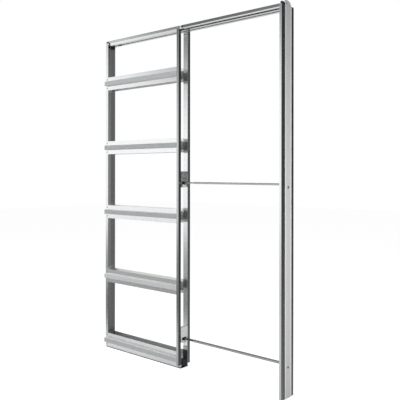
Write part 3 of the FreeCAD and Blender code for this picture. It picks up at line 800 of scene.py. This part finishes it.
# %% Bushes and rims of the bars
BUSH_WALL, BUSH_FLANGE, BUSH_LENGTH, BUSH_THICK = 0.0015, 0.0035, 0.0060, 0.0026
BUSH_CHAMFER, BUSH_EASE = 0.0008, 0.0006
RIM_ROLL = 0.0009
RING_STEPS = 28
PLAY = 0.0001
roll = np.radians(np.linspace(0, 360, 12, endpoint=False))
for name in ("middle", "low"):
    bar_low, bar_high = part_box(name + "_bar")
    rod_low, rod_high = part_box(name + "_rod")
    axis_height = (bar_low[2] + bar_high[2]) / 2
    tube = (bar_high[2] - bar_low[2]) / 2
    core = (rod_high[2] - rod_low[2]) / 2 + PLAY
    sleeve, flange = core + BUSH_WALL, core + BUSH_FLANGE
    bush = turned([(core, -BUSH_LENGTH), (sleeve, -BUSH_LENGTH), (sleeve, 0.0), (flange, 0.0),
                   (flange, BUSH_THICK - BUSH_CHAMFER), (flange - BUSH_CHAMFER, BUSH_THICK),
                   (core + BUSH_EASE, BUSH_THICK), (core, BUSH_THICK - BUSH_EASE)], RING_STEPS)
    bush_place = (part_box(name + "_socket")[1][0], 0, axis_height)
    add_rings(name + "_bush", bush, [bush_place], black_plastic, "black_plastic")
    bead = np.column_stack((tube + PLAY + RIM_ROLL * np.cos(roll), RIM_ROLL * np.sin(roll)))
    rim_place = (bar_low[0] + RIM_ROLL, 0, axis_height)
    add_rings(name + "_tube_rim", turned(bead, RING_STEPS), [rim_place], bar_metal, "bar_steel")

# %% [markdown]
# Under each block a round cradle holds the rod. Its hollow is lined with a black cup, painted shade for the
# dark of the hollow, and a pale saddle lies in the lower half of its rim. The cup is turned, with a hole
# for the rod. The saddle is a rounded strip carried along an arc below the rod: angle along it, and its
# section across it.

# %% Painted shade in the cradles, and their saddles
CRADLE = {"middle": (0.022, 0.029), "low": (0.020, 0.028)}
HOLLOW, CUP_WALL, CUP_FLOOR = 0.019, 0.0010, 0.0012
CUP_EDGE, CUP_LIP, CUP_STEPS = 0.0008, 0.0004, 40
SADDLE_START, SADDLE_END, SADDLE_INNER = 218, 322, 0.0125
SADDLE_RISE, SADDLE_EDGE, SADDLE_POWER = 0.0012, 0.0004, 0.5
sweep = np.radians(np.linspace(SADDLE_START, SADDLE_END, 25))
spin = np.radians(np.linspace(360, 0, 20, endpoint=False))
for name, (hollow, outer) in CRADLE.items():
    rod_low, rod_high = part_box(name + "_rod")
    axis_height = (rod_low[2] + rod_high[2]) / 2
    core = (rod_high[2] - rod_low[2]) / 2 + SUNK
    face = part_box(name + "_socket")[1][0]
    bottom, bore, wall = SUNK - HOLLOW, hollow - PLAY, hollow - CUP_WALL
    cup = turned([(core, bottom), (bore, bottom), (bore, -CUP_EDGE), (wall, -CUP_LIP),
                  (wall, bottom + CUP_FLOOR), (core, bottom + CUP_FLOOR)], CUP_STEPS)
    # Painted shade: a black cup in the hollow of the cradle.
    add_rings(name + "_shade_cup", cup, [(face, 0, axis_height)], black_plastic, "black_plastic")
    rim = outer - SADDLE_EDGE
    section = superellipse(spin, (rim - SADDLE_INNER) / 2, SADDLE_RISE, SADDLE_POWER)
    radius = (SADDLE_INNER + rim) / 2 + section[:, 0]
    proud = np.broadcast_to(face - SUNK + section[:, 1], (len(sweep), len(spin)))
    saddle = np.stack((proud, radius * np.cos(sweep)[:, None],
                       axis_height + radius * np.sin(sweep)[:, None]), axis=-1)
    add_piece(name + "_saddle", saddle, ring_faces(*saddle.shape[:2]), white_plastic, "pale_plastic")

# %% [markdown]
# The lowest rails stand on a steel lip with a dark strip below it, down to the floor, that runs on below
# the mouth's posts: painted shadow where the rails meet the floor. Both are rounded bars, carried along the
# wall.

# %% Floor lips and strips
LIP_OUT, LIP_IN, LIP_LOW, LIP_TOP = 0.0333, 0.03175, 0.0046, 0.0100
LIP_POWER, STRIP_POWER, STRIP_STEPS = 0.3, 0.5, 40


def rounded_bar(out, inside, low_edge, top_edge, power):
    """A superellipse between two depths and two heights."""
    corner = np.radians(np.linspace(0, 360, 24, endpoint=False))
    middle = np.array((out + inside, low_edge + top_edge)) / 2
    return middle + superellipse(corner, (out - inside) / 2, (top_edge - low_edge) / 2, power)


lip = rounded_bar(LIP_OUT, LIP_IN, LIP_LOW, LIP_TOP, LIP_POWER)
strip = rounded_bar(LIP_OUT, LIP_IN, 0.0, LIP_LOW + SUNK, STRIP_POWER)
rail_low, rail_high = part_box("rail_front_1")
lip_run = np.linspace(rail_low[0], rail_high[0], RUN_STEPS)
strip_run = np.linspace(rail_low[0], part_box("floor_bracket")[1][0], STRIP_STEPS)
for side, sign in (("front", -1), ("rear", 1)):
    add_run("floor_lip_" + side, lip * (sign, 1), lip_run, rail_steel, "galvanised_steel")
    # Painted shadow: the dark strip under the lip, where the rails meet the floor.
    add_run("floor_shadow_strip_" + side, strip * (sign, 1), strip_run, rubber, "black_plastic")

# %% [markdown]
# The block in the foot guides the door's lower edge. It is one moulding: a low base that slopes up below,
# towards the front, and a tall thin wall at the rear. Its outline is carried along the wall, and the first
# and last slices are drawn in, so that the ends are softened. A pale cap is pushed over the wall's top.

# %% Guide in the foot
BASE_TOP, WALL, SLOPE, SLOPE_RUN = 0.044, 0.005, 0.012, 0.030
GUIDE_EDGE, GUIDE_FILLET = 0.001, 0.004
GUIDE_END, GUIDE_DRAW = 0.0008, 0.985
CAP_LOW, CAP_OVER, CAP_POWER = 0.1005, 0.0004, 0.2
low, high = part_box("guide_block")
front, rear, base, top = low[1], high[1], low[2], high[2]
step_y, step_z = rear - WALL, base + BASE_TOP
under = [(front, base + SLOPE), (front + SLOPE_RUN, base),
         (rear - GUIDE_EDGE, base), (rear, base + GUIDE_EDGE)]
crest = [(rear, top - GUIDE_EDGE), (rear - GUIDE_EDGE, top),
         (step_y + GUIDE_EDGE, top), (step_y, top - GUIDE_EDGE)]
quarter = np.radians(np.linspace(90, 0, 6))
hollow = np.column_stack((step_y - GUIDE_FILLET * (1 - np.sin(quarter)),
                          step_z + GUIDE_FILLET * (1 - np.cos(quarter))))
nose = [(front + 2 * GUIDE_EDGE, step_z), (front, step_z - 2 * GUIDE_EDGE)]
outline = np.vstack((under, crest, hollow, nose))
middle = outline.mean(axis=0)
run = np.array((low[0], low[0] + GUIDE_END, high[0] - GUIDE_END, high[0]))
draw = np.array((GUIDE_DRAW, 1.0, 1.0, GUIDE_DRAW))
guide = carried(middle + draw[:, None, None] * (outline - middle), run)
guide_faces = ring_faces(*guide.shape[:2])
guide_piece = add_piece("foot_guide", guide, guide_faces, black_plastic, "black_plastic", crease=25)
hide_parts("guide_block")
cap = rounded_bar(rear + CAP_OVER, step_y - CAP_OVER, CAP_LOW, top + CAP_OVER, CAP_POWER)
cap_run = np.linspace(low[0] - CAP_OVER, high[0] + CAP_OVER, 8)
add_run("guide_cap", cap, cap_run, white_plastic, "pale_plastic")

# %% [markdown]
# The wall screws pass through the strike jamb in two pressed eyelets, with a black ring deep inside each,
# painted shade for the dark depth of the hole, and a smaller eyelet lines the hole in the strip's top. An
# eyelet is a thin sleeve with a rounded lip. None of them stands out past the strip, whose face has to lie
# flat on the wall.

# %% Eyelets of the strike jamb
EYELET_RADIUS, EYELET_WALL, EYELET_DEEP = 0.0069, 0.0011, 0.0030
TAB_RADIUS, TAB_WALL, TAB_LIFT = 0.0039, 0.0014, 0.0005
SHADE_DISC_BORE, SHADE_DISC_RADIUS = 0.0028, 0.0067
LIP_ROOM = 0.0014
HOLE_HEIGHTS = (1.118, 0.163)
TAB_DEPTH, TAB_HEIGHT = -0.020, 2.090


def eyelet(outer, wall, length):
    """A closed ring of a sleeve: out across its end, along the outside and back over a rounded lip."""
    over = np.radians(np.linspace(0, 180, 7))
    lip = np.column_stack((outer - wall / 2 + wall / 2 * np.cos(over), wall / 2 * np.sin(over)))
    return turned([(outer - wall, -length), (outer, -length), *lip], RING_STEPS)


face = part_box("jamb_strip")[1][0] - LIP_ROOM
holes = [(face, 0, height) for height in HOLE_HEIGHTS]
ring = eyelet(EYELET_RADIUS, EYELET_WALL, EYELET_DEEP)
add_rings("fixing_eyelets", ring, holes, bar_metal, "bar_steel")
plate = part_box("middle_end_plate")[0][0] - face
# Painted shade: a black ring deep in each fixing hole.
washer = turned([(SHADE_DISC_BORE, plate), (SHADE_DISC_RADIUS, plate), (SHADE_DISC_RADIUS, -EYELET_DEEP),
                 (SHADE_DISC_BORE, -EYELET_DEEP)], RING_STEPS)
add_rings("fixing_hole_shade", washer, holes, black_plastic, "black_plastic")
tab_ring = eyelet(TAB_RADIUS, TAB_WALL, EYELET_DEEP)
add_rings("tab_eyelet", tab_ring, [(face + TAB_LIFT, TAB_DEPTH, TAB_HEIGHT)], rod_metal, "bar_steel")

# %% [markdown]
# A dark moulded clip sits on the top edge of the strike jamb, in front of the strip. It is a rounded
# block: a superellipse for its plan, drawn in towards the top by a cosine, so it has no sharp edge.

# %% Clip on the strike jamb
CLIP_HALF, CLIP_POWER, CLIP_STEPS = (0.0062, 0.0125), 0.5, 32
CLIP_FOOT, CLIP_TOP, CLIP_ROUND = 2.0760, 2.0985, 0.006
CLIP_FOOT_EDGE, CLIP_FOOT_DRAW, CLIP_CROWN = 0.001, 0.90, 0.55
CLIP_DEPTH = 0.0165
low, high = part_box("jamb_channel")
plan = superellipse(np.linspace(0, 2 * np.pi, CLIP_STEPS, endpoint=False), *CLIP_HALF, CLIP_POWER)
climb = np.radians(np.linspace(0, 80, 9))
shrink = np.concatenate(([CLIP_FOOT_DRAW, 1.0], CLIP_CROWN + (1 - CLIP_CROWN) * np.cos(climb)))
crown_rise = CLIP_TOP - CLIP_ROUND * (1 - np.sin(climb))
rise = np.concatenate(([CLIP_FOOT, CLIP_FOOT + CLIP_FOOT_EDGE], crown_rise))
clip = raised(shrink[:, None, None] * plan, rise)
clip = clip + np.array((high[0] - CLIP_HALF[0] - FIT_GAP, low[1] + CLIP_DEPTH, 0))
add_piece("jamb_clip", clip, ring_faces(len(rise), CLIP_STEPS), black_plastic, "black_plastic")
